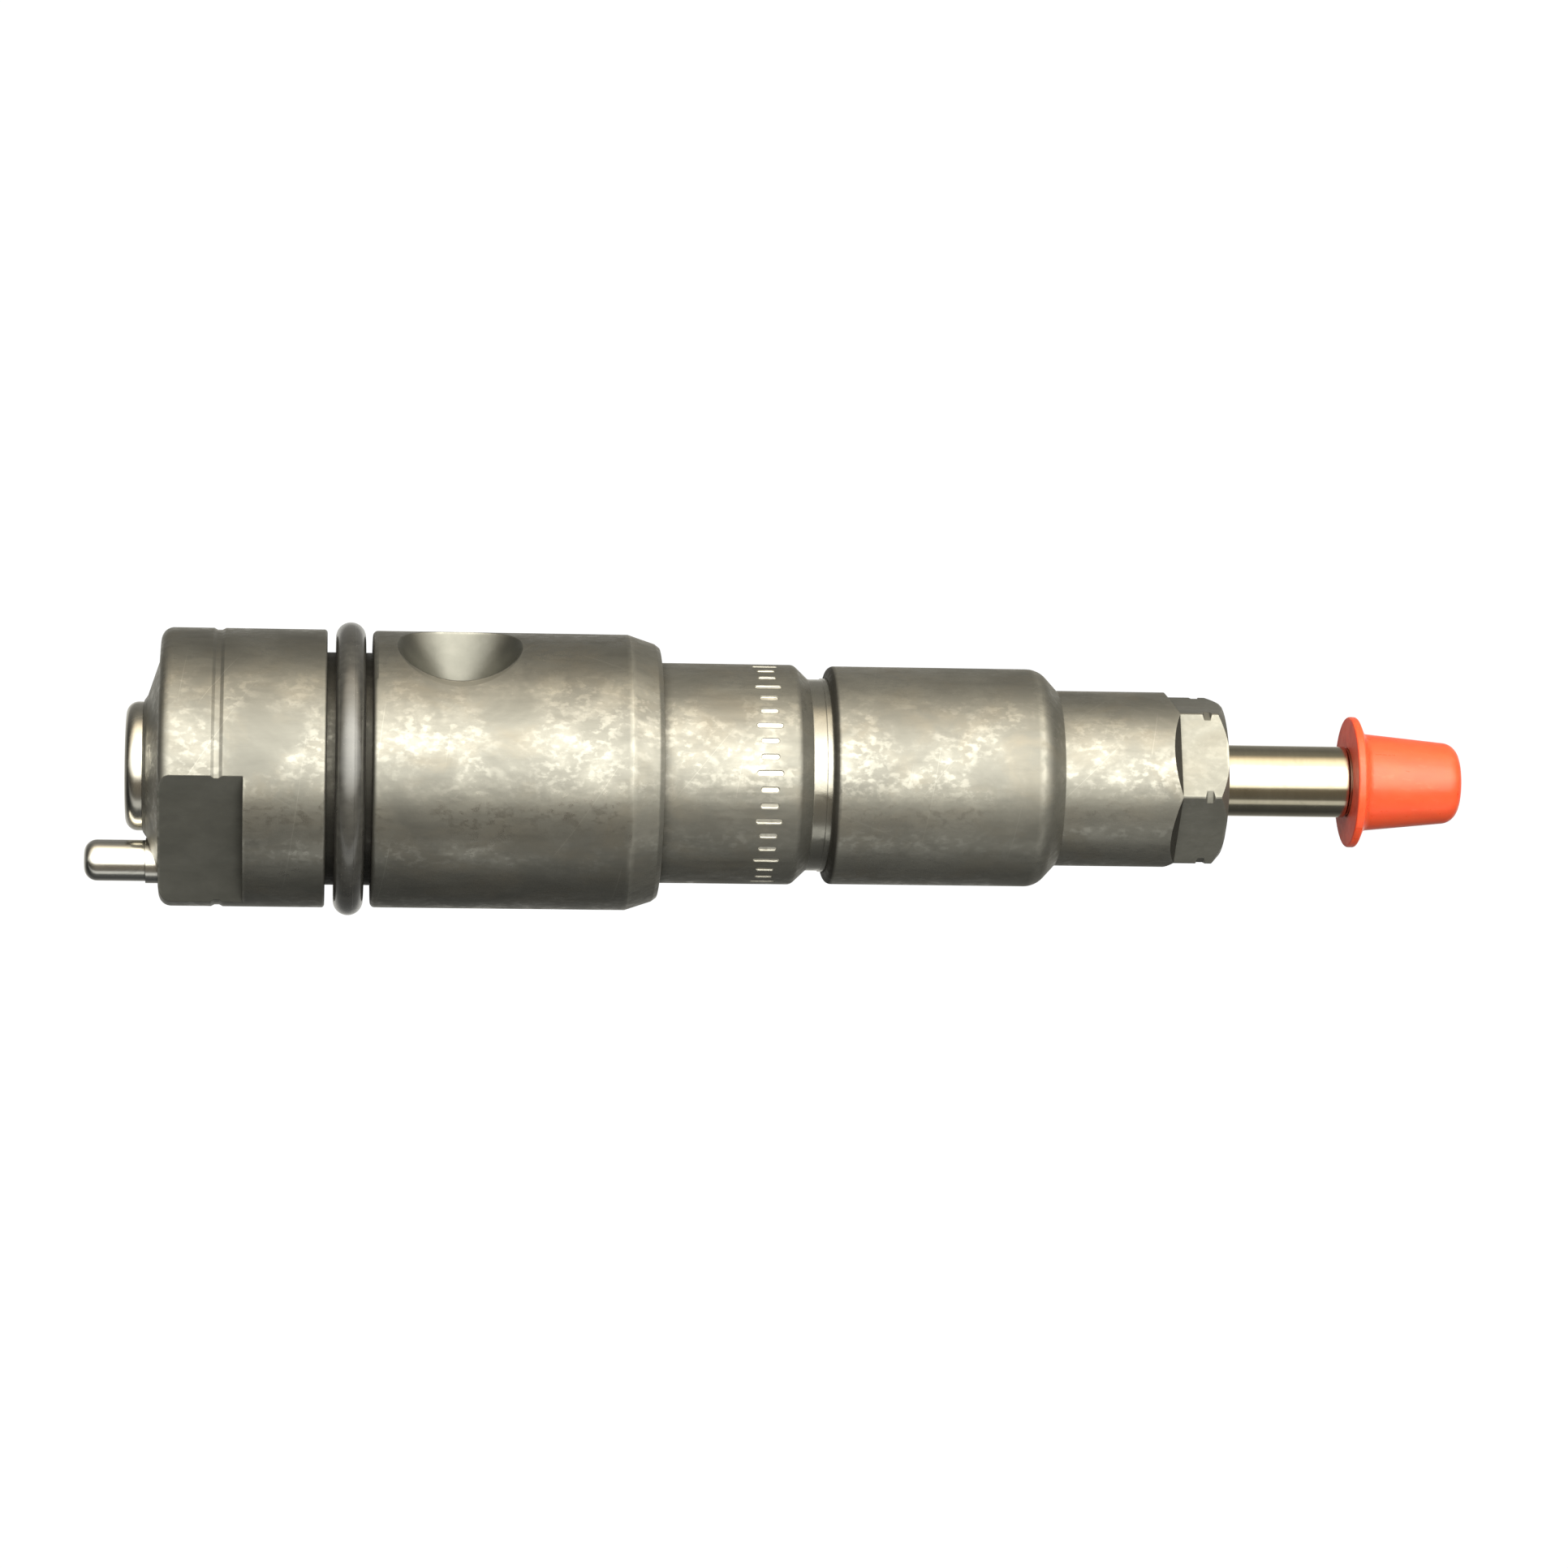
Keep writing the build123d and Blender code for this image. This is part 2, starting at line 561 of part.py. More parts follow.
def retaining_nut():
    nut = nut_outside()
    keep = ring(NUT_REAR_X - 1, HEX_START_X - HEX_RUN_OUT, NUT_DIAMETER + 2, 0) + hexagon()
    nut = nut & keep
    half = HEX_GROOVE_WIDTH / 2
    floor = NUT_SMALL_DIAMETER - 2 * HEX_GROOVE_DEPTH
    nut -= turned(
        (HEX_GROOVE_X - half, NUT_SMALL_DIAMETER + 1),
        (HEX_GROOVE_X - 0.4 * half, floor),
        (HEX_GROOVE_X + 0.4 * half, floor),
        (HEX_GROOVE_X + half, NUT_SMALL_DIAMETER + 1),
    )
    nut -= turned(
        (-HEX_END_CHAMFER, NUT_SMALL_DIAMETER),
        (0, HEX_END_DIAMETER),
        (1, HEX_END_DIAMETER),
        (1, NUT_SMALL_DIAMETER + 2),
        (-HEX_END_CHAMFER, NUT_SMALL_DIAMETER + 2),
    )
    return nut - nut_inside()


def nut_inside():
    """The threaded bore, the room for the disc, the collar's bore and the nozzle's exit."""
    return turned(
        (NUT_REAR_X - 1, 0),
        (NUT_REAR_X - 1, NUT_THREAD_BORE),
        (NUT_THREAD_END_X, NUT_THREAD_BORE),
        (NUT_THREAD_END_X, NUT_DISC_BORE),
        (NUT_STEP_START_X, NUT_DISC_BORE),
        (NUT_STEP_END_X, NUT_COLLAR_BORE),
        (COLLAR_END_X, NUT_COLLAR_BORE),
        (COLLAR_END_X, NUT_END_BORE),
        (-NUT_END_CHAMFER, NUT_END_BORE),
        (1, NUT_END_BORE + 2 * (NUT_END_CHAMFER + 1)),
        (1, 0),
    )


def nozzle_cap():
    cap = turned(
        (CAP_MOUTH_X, 0),
        (CAP_MOUTH_X, FLANGE_DIAMETER),
        (CAP_MOUTH_X + FLANGE_THICKNESS, FLANGE_DIAMETER),
        (CAP_ROOT_X, CAP_ROOT_DIAMETER),
        (CAP_END_X, CAP_END_DIAMETER),
        (CAP_END_X, 0),
    )
    cap = fillet(rims(cap, (CAP_END_X, CAP_END_DIAMETER)), CAP_END_RADIUS)
    flange_rims = [(CAP_MOUTH_X, FLANGE_DIAMETER), (CAP_MOUTH_X + FLANGE_THICKNESS, FLANGE_DIAMETER)]
    cap = fillet(rims(cap, *flange_rims), FLANGE_ROUNDING)
    cap = fillet(rims(cap, (CAP_ROOT_X, CAP_ROOT_DIAMETER)), CAP_ROOT_RADIUS)
    bore = turned(
        (CAP_MOUTH_X - 1, 0),
        (CAP_MOUTH_X - 1, CAP_BORE),
        (CAP_BORE_END_X - CAP_BORE_TAPER, CAP_BORE),
        (CAP_BORE_END_X, CAP_BORE - 2 * CAP_BORE_TAPER),
        (CAP_BORE_END_X, 0),
    )
    return cap - bore


NODES = {
    "holder_body": holder_body,
    "thrust_button": thrust_button,
    "locating_pin": locating_pin,
    "body_o_ring": body_o_ring,
    "pressure_shim": pressure_shim,
    "spring_washer": spring_washer,
    "nozzle_spring": nozzle_spring,
    "spring_seat": spring_seat,
    "pressure_pin": pressure_pin,
    "intermediate_disc": intermediate_disc,
    "holder_dowels": holder_dowels,
    "nozzle_dowels": nozzle_dowels,
    "nozzle_body": nozzle_body,
    "nozzle_needle": nozzle_needle,
    "retaining_nut": retaining_nut,
    "nozzle_cap": nozzle_cap,
}

os.makedirs("parts", exist_ok=True)
for name, build in NODES.items():
    export_step(build(), f"parts/{name}.step")
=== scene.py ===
import json
import math

import bpy
from mathutils import Matrix, Vector


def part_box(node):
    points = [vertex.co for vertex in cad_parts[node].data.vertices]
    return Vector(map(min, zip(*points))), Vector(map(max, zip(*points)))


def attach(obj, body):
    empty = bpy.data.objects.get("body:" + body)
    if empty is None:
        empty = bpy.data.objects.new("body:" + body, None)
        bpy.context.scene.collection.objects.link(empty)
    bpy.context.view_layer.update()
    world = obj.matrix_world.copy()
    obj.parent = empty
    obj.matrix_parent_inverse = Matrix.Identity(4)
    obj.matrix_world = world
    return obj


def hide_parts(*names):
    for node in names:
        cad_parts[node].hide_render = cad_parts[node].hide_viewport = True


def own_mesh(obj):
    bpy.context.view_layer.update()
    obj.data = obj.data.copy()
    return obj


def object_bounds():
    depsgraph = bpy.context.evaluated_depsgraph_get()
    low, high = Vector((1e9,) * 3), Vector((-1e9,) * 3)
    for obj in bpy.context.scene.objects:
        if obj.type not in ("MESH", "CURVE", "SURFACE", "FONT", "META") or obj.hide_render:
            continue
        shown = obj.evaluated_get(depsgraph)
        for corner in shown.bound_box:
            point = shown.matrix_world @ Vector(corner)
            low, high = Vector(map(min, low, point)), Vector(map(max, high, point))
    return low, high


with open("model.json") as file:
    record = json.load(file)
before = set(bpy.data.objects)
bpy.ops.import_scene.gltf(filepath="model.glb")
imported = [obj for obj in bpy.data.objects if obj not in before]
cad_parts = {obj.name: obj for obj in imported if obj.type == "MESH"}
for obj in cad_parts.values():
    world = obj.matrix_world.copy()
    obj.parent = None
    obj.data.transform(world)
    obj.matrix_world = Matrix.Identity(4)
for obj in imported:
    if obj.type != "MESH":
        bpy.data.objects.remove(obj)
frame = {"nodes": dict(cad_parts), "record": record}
CAD_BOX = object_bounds()

NODES = frame["nodes"]
MM = 0.001

# Camera: nearly side-on, a little above, with the head end slightly nearer
VIEW_ELEVATION = math.radians(27.0)
VIEW_YAW = math.radians(5.2)
VIEW_ROLL = math.radians(0.76)
VIEW_DISTANCE = 508.7 * MM
VIEW_RIGHT_OF_CENTRE = 0.5 * MM
VIEW_BELOW_AXIS = 0.92 * MM
LENS_MM = 119.25
SENSOR_MM = 36.0
CLIP_START = 0.05
CLIP_END = 60.0

FLOOR_HALF_WIDTH = 15.0
FLOOR_HEIGHT = -0.3
FLOOR_GLOW = 1.05

# The room's light by its direction round the injector's axis: 0 is the front, 90 overhead
ROOM_STRENGTH = 6.0
ROOM_ROUND = (
    (-180, (0.30, 0.295, 0.28)),
    (-168, (0.75, 0.74, 0.69)),
    (-142, (0.75, 0.74, 0.69)),
    (-124, (0.22, 0.22, 0.21)),
    (-90, (0.06, 0.062, 0.062)),
    (-66, (0.085, 0.087, 0.085)),
    (-56, (0.13, 0.132, 0.127)),
    (-53, (0.78, 0.78, 0.74)),
    (-40, (0.78, 0.78, 0.74)),
    (-36, (0.15, 0.141, 0.124)),
    (-12, (0.16, 0.14, 0.11)),
    (2, (0.20, 0.17, 0.13)),
    (9, (2.2, 2.1, 1.85)),
    (22, (3.6, 3.55, 3.25)),
    (36, (4.8, 4.7, 4.3)),
    (62, (5.2, 5.05, 4.55)),
    (80, (2.7, 2.5, 2.12)),
    (100, (1.8, 1.6, 1.26)),
    (109, (0.95, 0.82, 0.63)),
    (118, (0.30, 0.285, 0.245)),
    (145, (0.18, 0.177, 0.163)),
    (180, (0.30, 0.295, 0.28)),
)
# The same light's share by how far its direction leans along the injector, from -1 to 1
ROOM_ALONG = (
    (-1.0, 0.12),
    (-0.8, 0.4),
    (-0.4, 0.85),
    (-0.1, 0.95),
    (0.15, 1.0),
    (0.5, 1.12),
    (0.75, 0.6),
    (1.0, 0.25),
)

# Nozzle spring and the O-ring's mould line, in millimetres
SPRING_WIRE = 2.0
SPRING_CLOSED_RISE = 2.1
SPRING_ACTIVE_TURNS = 8
SPRING_STEPS_PER_TURN = 44
SPRING_SIDES = 18
MOULD_LINE_OFF_MIDDLE = 0.35
MOULD_LINE_WIDTH = 0.08
MOULD_LINE_RADII = (13.6, 13.9)

# CAD dimensions that the materials need, in millimetres, and the share of a line that is scratched
STROKES_BEHIND_NUT = 6.2
STROKE_REACH = 1.5
STROKE_FLOOR_RADIUS = 10.63
FLATS_REACH = 8.1
FLATS_RUN_OUT = 3.3
FLATS_ANGLE = math.radians(102.1)
FLATS_WIDTH = 22.0
SIDE_RADIUS = 11.0
SCRATCHED_FROM = 0.62
HEX_LENGTH = 4.65
HEX_RUN_OUT = 0.9
SHOULDER_START = -18.55
LEAD_IN_START = -58.4
INLET_MOUTH_RADIUS = 6.05
INLET_PASSAGE_RADIUS = 1.6
FEED_PASSAGE_RADIUS = 1.1
FEED_PASSAGE_HEIGHT = 6.9
NECK_BEHIND_NUT = 1.85


def view_axes():
    """The camera's right, up and back directions."""
    level_back = Vector((0, -math.cos(VIEW_ELEVATION), math.sin(VIEW_ELEVATION)))
    level_up = Vector((0, math.sin(VIEW_ELEVATION), math.cos(VIEW_ELEVATION)))
    along = Vector((1, 0, 0))
    back = math.cos(VIEW_YAW) * level_back - math.sin(VIEW_YAW) * along
    right = math.cos(VIEW_YAW) * along + math.sin(VIEW_YAW) * level_back
    turned_right = math.cos(VIEW_ROLL) * right + math.sin(VIEW_ROLL) * level_up
    turned_up = math.cos(VIEW_ROLL) * level_up - math.sin(VIEW_ROLL) * right
    return turned_right, turned_up, back


def place(obj, position, right, up, back):
    obj.matrix_world = Matrix.Translation(position) @ Matrix((right, up, back)).transposed().to_4x4()


def add_camera():
    right, up, back = view_axes()
    low, high = CAD_BOX
    aim = Vector(((low.x + high.x) / 2 + VIEW_RIGHT_OF_CENTRE, 0, 0))
    camera = bpy.data.objects.new("camera", bpy.data.cameras.new("camera"))
    camera.data.lens = LENS_MM
    camera.data.sensor_width = SENSOR_MM
    camera.data.clip_start = CLIP_START
    camera.data.clip_end = CLIP_END
    place(camera, aim - VIEW_BELOW_AXIS * up + VIEW_DISTANCE * back, right, up, back)
    bpy.context.scene.collection.objects.link(camera)
    bpy.context.scene.camera = camera


def add_floor():
    """A white lightbox floor well below the object, which neither shades it nor shows in it."""
    mesh = bpy.data.meshes.new("floor")
    half, z = FLOOR_HALF_WIDTH, FLOOR_HEIGHT
    corners = [(-half, -half, z), (half, -half, z), (half, half, z), (-half, half, z)]
    mesh.from_pydata(corners, [], [(0, 1, 2, 3)])
    floor = bpy.data.objects.new("floor", mesh)
    bpy.context.scene.collection.objects.link(floor)
    material = bpy.data.materials.new("floor_white")
    material.use_nodes = True
    tree = material.node_tree
    tree.nodes.clear()
    glow = tree.nodes.new("ShaderNodeEmission")
    glow.inputs["Color"].default_value = (1, 1, 1, 1)
    glow.inputs["Strength"].default_value = FLOOR_GLOW
    out = tree.nodes.new("ShaderNodeOutputMaterial")
    tree.links.new(glow.outputs[0], out.inputs[0])
    mesh.materials.append(material)
    floor.visible_diffuse = False
    floor.visible_glossy = False
    floor.visible_transmission = False


class Tree:
    """A short way to write a node tree."""

    def __init__(self, tree):
        self.tree = tree
        self.tree.nodes.clear()

    def add(self, kind, **settings):
        node = self.tree.nodes.new(kind)
        for key, value in settings.items():
            setattr(node, key, value)
        return node

    def put(self, socket, value):
        """Links a socket or sets a number or colour."""
        if isinstance(value, bpy.types.NodeSocket):
            self.tree.links.new(value, socket)
        else:
            socket.default_value = value

    def math(self, operation, a, b=0.0, c=0.0):
        node = self.add("ShaderNodeMath", operation=operation)
        for socket, value in zip(node.inputs, (a, b, c)):
            self.put(socket, value)
        return node.outputs[0]

    def range(self, value, low, high, to_low=0.0, to_high=1.0, smooth=False):
        node = self.add("ShaderNodeMapRange", interpolation_type="SMOOTHSTEP" if smooth else "LINEAR")
        self.put(node.inputs["Value"], value)
        for key, number in (("From Min", low), ("From Max", high), ("To Min", to_low), ("To Max", to_high)):
            self.put(node.inputs[key], number)
        return node.outputs[0]

    def split(self, vector):
        node = self.add("ShaderNodeSeparateXYZ")
        self.put(node.inputs[0], vector)
        return node.outputs

    def ramp(self, value, stops):
        """Colours or greys at places from 0 to 1."""
        node = self.add("ShaderNodeValToRGB")
        elements = node.color_ramp.elements
        while len(elements) > 1:
            elements.remove(elements[-1])
        for n, (at, colour) in enumerate(stops):
            stop = elements[0] if n == 0 else elements.new(at)
            stop.position = at
            stop.color = (*colour, 1) if isinstance(colour, tuple) else (colour, colour, colour, 1)
        self.put(node.inputs[0], value)
        return node.outputs[0]

    def mix(self, share, a, b, blend="MIX"):
        """Colour a where share is 0, colour b where it is 1."""
        node = self.add("ShaderNodeMix", data_type="RGBA", blend_type=blend)
        self.put(node.inputs[0], share)
        self.put(node.inputs[6], a)
        self.put(node.inputs[7], b)
        return node.outputs[2]


def set_world():
    """A room lit by its direction alone: a wide window in front and above and a pale table below.

    The camera itself sees plain white in place of the room.
    """
    world = bpy.data.worlds.new("room")
    world.use_nodes = True
    bpy.context.scene.world = world
    t = Tree(world.node_tree)
    x, y, z = t.split(t.add("ShaderNodeTexCoord").outputs["Generated"])
    turn = t.math("ARCTAN2", z, t.math("MULTIPLY", y, -1.0))
    share = t.range(turn, -math.pi, math.pi)
    stops = [((angle + 180) / 360, tuple(c / ROOM_STRENGTH for c in colour)) for angle, colour in ROOM_ROUND]
    round_it = t.ramp(share, stops)
    along = t.ramp(t.range(x, -1.0, 1.0), [((lean + 1) / 2, grey) for lean, grey in ROOM_ALONG])
    light = t.mix(1.0, round_it, along, "MULTIPLY")
    room = t.add("ShaderNodeBackground")
    t.put(room.inputs["Color"], light)
    room.inputs["Strength"].default_value = ROOM_STRENGTH
    sweep = t.add("ShaderNodeBackground")
    sweep.inputs["Color"].default_value = (1, 1, 1, 1)
    seen = t.add("ShaderNodeMixShader")
    t.put(seen.inputs[0], t.add("ShaderNodeLightPath").outputs["Is Camera Ray"])
    t.put(seen.inputs[1], room.outputs[0])
    t.put(seen.inputs[2], sweep.outputs[0])
    t.put(t.add("ShaderNodeOutputWorld").inputs[0], seen.outputs[0])


class Material(Tree):
    """A Principled material written in the object's own coordinates, in millimetres."""

    def __init__(self, name, offset=(0.0, 0.0, 0.0)):
        self.material = bpy.data.materials.new(name)
        self.material.use_nodes = True
        super().__init__(self.material.node_tree)
        self.shader = self.add("ShaderNodeBsdfPrincipled")
        self.put(self.add("ShaderNodeOutputMaterial").inputs["Surface"], self.shader.outputs[0])
        self.coordinates = self.add("ShaderNodeTexCoord")
        self.offset = offset
        self.mm = self.stretched(1, 1, 1, shifted=False)
        self.x, self.y, self.z = self.split(self.mm)
        self.radius = self.math("SQRT", self.math("ADD", self.square(self.y), self.square(self.z)))

    def facing_x(self):
        """How far the surface faces along the injector, from -1 to 1."""
        return self.split(self.coordinates.outputs["Normal"])[0]

    def square(self, value):
        return self.math("MULTIPLY", value, value)

    def stretched(self, x, y, z, shifted=True):
        node = self.add("ShaderNodeMapping")
        self.put(node.inputs["Vector"], self.coordinates.outputs["Object"])
        node.inputs["Scale"].default_value = (x / MM, y / MM, z / MM)
        if shifted:
            node.inputs["Location"].default_value = self.offset
        return node.outputs[0]

    def noise(self, size, stretch=(1, 1, 1), detail=3.0, roughness=0.5, distortion=0.0, shift=0.0):
        """Noise with features of about the given size in millimetres, 0 to 1."""
        node = self.add("ShaderNodeTexNoise")
        x, y, z = stretch
        vector = self.stretched(x / size, y / size, z / size)
        if shift:
            move = self.add("ShaderNodeVectorMath", operation="ADD")
            self.put(move.inputs[0], vector)
            move.inputs[1].default_value = (shift, 2.7 * shift, -1.9 * shift)
            vector = move.outputs[0]
        self.put(node.inputs["Vector"], vector)
        node.inputs["Scale"].default_value = 1.0
        node.inputs["Detail"].default_value = detail
        node.inputs["Roughness"].default_value = roughness
        node.inputs["Distortion"].default_value = distortion
        return node.outputs[0]

    def scratches(self, angle, spacing, length, width, shift):
        """Straight thin lines of random places and lengths, at an angle to the injector's axis."""
        turn = self.math("ARCTAN2", self.y, self.z)
        around = self.math("MULTIPLY", turn, SIDE_RADIUS)
        c, s = math.cos(angle), math.sin(angle)
        across = self.math("MULTIPLY_ADD", self.x, -s / spacing, self.math("MULTIPLY", around, c / spacing))
        down = self.math("MULTIPLY_ADD", self.x, c / length, self.math("MULTIPLY", around, s / length))
        across = self.math("ADD", across, 100.0 + shift)
        cell = self.math("FLOOR", across)
        chance = self.add("ShaderNodeTexWhiteNoise", noise_dimensions="1D")
        self.put(chance.inputs["W"], cell)
        middle = self.range(chance.outputs["Value"], 0.0, 1.0, 0.2, 0.8)
        apart = self.math("ABSOLUTE", self.math("SUBTRACT", self.math("FRACT", across), middle))
        line = self.range(apart, 0.25 * width / spacing, width / spacing, 1.0, 0.0)
        join = self.add("ShaderNodeCombineXYZ")
        self.put(join.inputs[0], down)
        self.put(join.inputs[1], self.math("MULTIPLY", cell, 7.31))
        run = self.add("ShaderNodeTexNoise")
        self.put(run.inputs["Vector"], join.outputs[0])
        run.inputs["Scale"].default_value = 1.0
        run.inputs["Detail"].default_value = 1.0
        return self.math("MULTIPLY", line, self.range(run.outputs[0], SCRATCHED_FROM, SCRATCHED_FROM + 0.06))

    def band(self, value, low, high, soft):
        """1 where the value lies between low and high."""
        up = self.range(value, low - soft, low + soft)
        down = self.range(value, high - soft, high + soft, 1.0, 0.0)
        return self.math("MULTIPLY", up, down)

    def occlusion(self, distance, inside):
        node = self.add("ShaderNodeAmbientOcclusion", inside=inside, only_local=inside, samples=8)
        node.inputs["Distance"].default_value = distance * MM
        return node.outputs["AO"]

    def edges(self, distance):
        """1 at outer edges."""
        return self.range(self.occlusion(distance, True), 0.45, 0.9, 1.0, 0.0)

    def crevices(self, distance):
        """1 deep in corners and gaps."""
        return self.range(self.occlusion(distance, False), 0.2, 0.85, 1.0, 0.0)

    def product(self, *values):
        result = values[0]
        for value in values[1:]:
            result = self.math("MULTIPLY", result, value)
        return result

    def total(self, *weighted):
        """The sum of (value, weight) pairs."""
        result = 0.0
        for value, weight in weighted:
            result = self.math("MULTIPLY_ADD", value, weight, result)
        return result

    def bump(self, height, depth, rounding=0.0):
        """Bumps of the given depth in millimetres, on edges rounded by the given radius."""
        node = self.add("ShaderNodeBump")
        self.put(node.inputs["Height"], height)
        node.inputs["Distance"].default_value = depth * MM
        if rounding:
            bevel = self.add("ShaderNodeBevel", samples=6)
            bevel.inputs["Radius"].default_value = rounding * MM
            self.put(node.inputs["Normal"], bevel.outputs[0])
        self.put(self.shader.inputs["Normal"], node.outputs[0])

    def over(self, colour, share, weight, other):
        """The colour with another over it, as strong as the weight where share is 1."""
        return self.mix(self.math("MULTIPLY", share, weight), colour, other)

    def set(self, **values):
        for name, value in values.items():
            self.put(self.shader.inputs[name.replace("_", " ")], value)


def spring_rise(turns, length):
    """How far along the spring its wire's centre has come after some turns, in millimetres."""
    active_pitch = (length - 2 * SPRING_CLOSED_RISE) / SPRING_ACTIVE_TURNS
    first = min(turns, 1.0) * SPRING_CLOSED_RISE
    middle = min(max(turns - 1.0, 0.0), SPRING_ACTIVE_TURNS) * active_pitch
    last = max(turns - 1.0 - SPRING_ACTIVE_TURNS, 0.0) * SPRING_CLOSED_RISE
    return first + middle + last


def add_spring(material):
    """The nozzle spring, wound from round wire with ground ends."""
    low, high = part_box("nozzle_spring")
    length = (high.x - low.x) / MM
    coil = high.z / MM - SPRING_WIRE / 2
    count = (SPRING_ACTIVE_TURNS + 2) * SPRING_STEPS_PER_TURN
    centres = []
    for n in range(count + 1):
        turns = n / SPRING_STEPS_PER_TURN
        a = 2 * math.pi * turns
        centres.append(Vector((spring_rise(turns, length), coil * math.sin(a), -coil * math.cos(a))))
    vertices, faces = [], []
    for n, centre in enumerate(centres):
        ahead = (centres[min(n + 1, count)] - centres[max(n - 1, 0)]).normalized()
        outward = Vector((0, centre.y, centre.z)).normalized()
        sideways = ahead.cross(outward)
        for k in range(SPRING_SIDES):
            b = 2 * math.pi * k / SPRING_SIDES
            point = centre + SPRING_WIRE / 2 * (math.cos(b) * outward + math.sin(b) * sideways)
            point.x = min(max(point.x, 0.0), length)
            vertices.append(low.x * Vector((1, 0, 0)) + point * MM)
        if n:
            for k in range(SPRING_SIDES):
                here, there = n * SPRING_SIDES, (n - 1) * SPRING_SIDES
                after = (k + 1) % SPRING_SIDES
                faces.append((there + k, there + after, here + after, here + k))
    faces.append(tuple(reversed(range(SPRING_SIDES))))
    faces.append(tuple(range(count * SPRING_SIDES, (count + 1) * SPRING_SIDES)))
    mesh = bpy.data.meshes.new("wound_spring")
    mesh.from_pydata(vertices, [], faces)
    mesh.materials.append(material)
    spring = bpy.data.objects.new("wound_spring", mesh)
    bpy.context.scene.collection.objects.link(spring)
    for polygon in mesh.polygons:
        polygon.use_smooth = True
    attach(spring, "holder")
    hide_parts("nozzle_spring")
    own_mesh(spring)


def coat(material, *nodes):
    for node in nodes:
        mesh = NODES[node].data
        mesh.materials.clear()
        mesh.materials.append(material)


def rgb(r, g, b):
    return (r, g, b, 1.0)


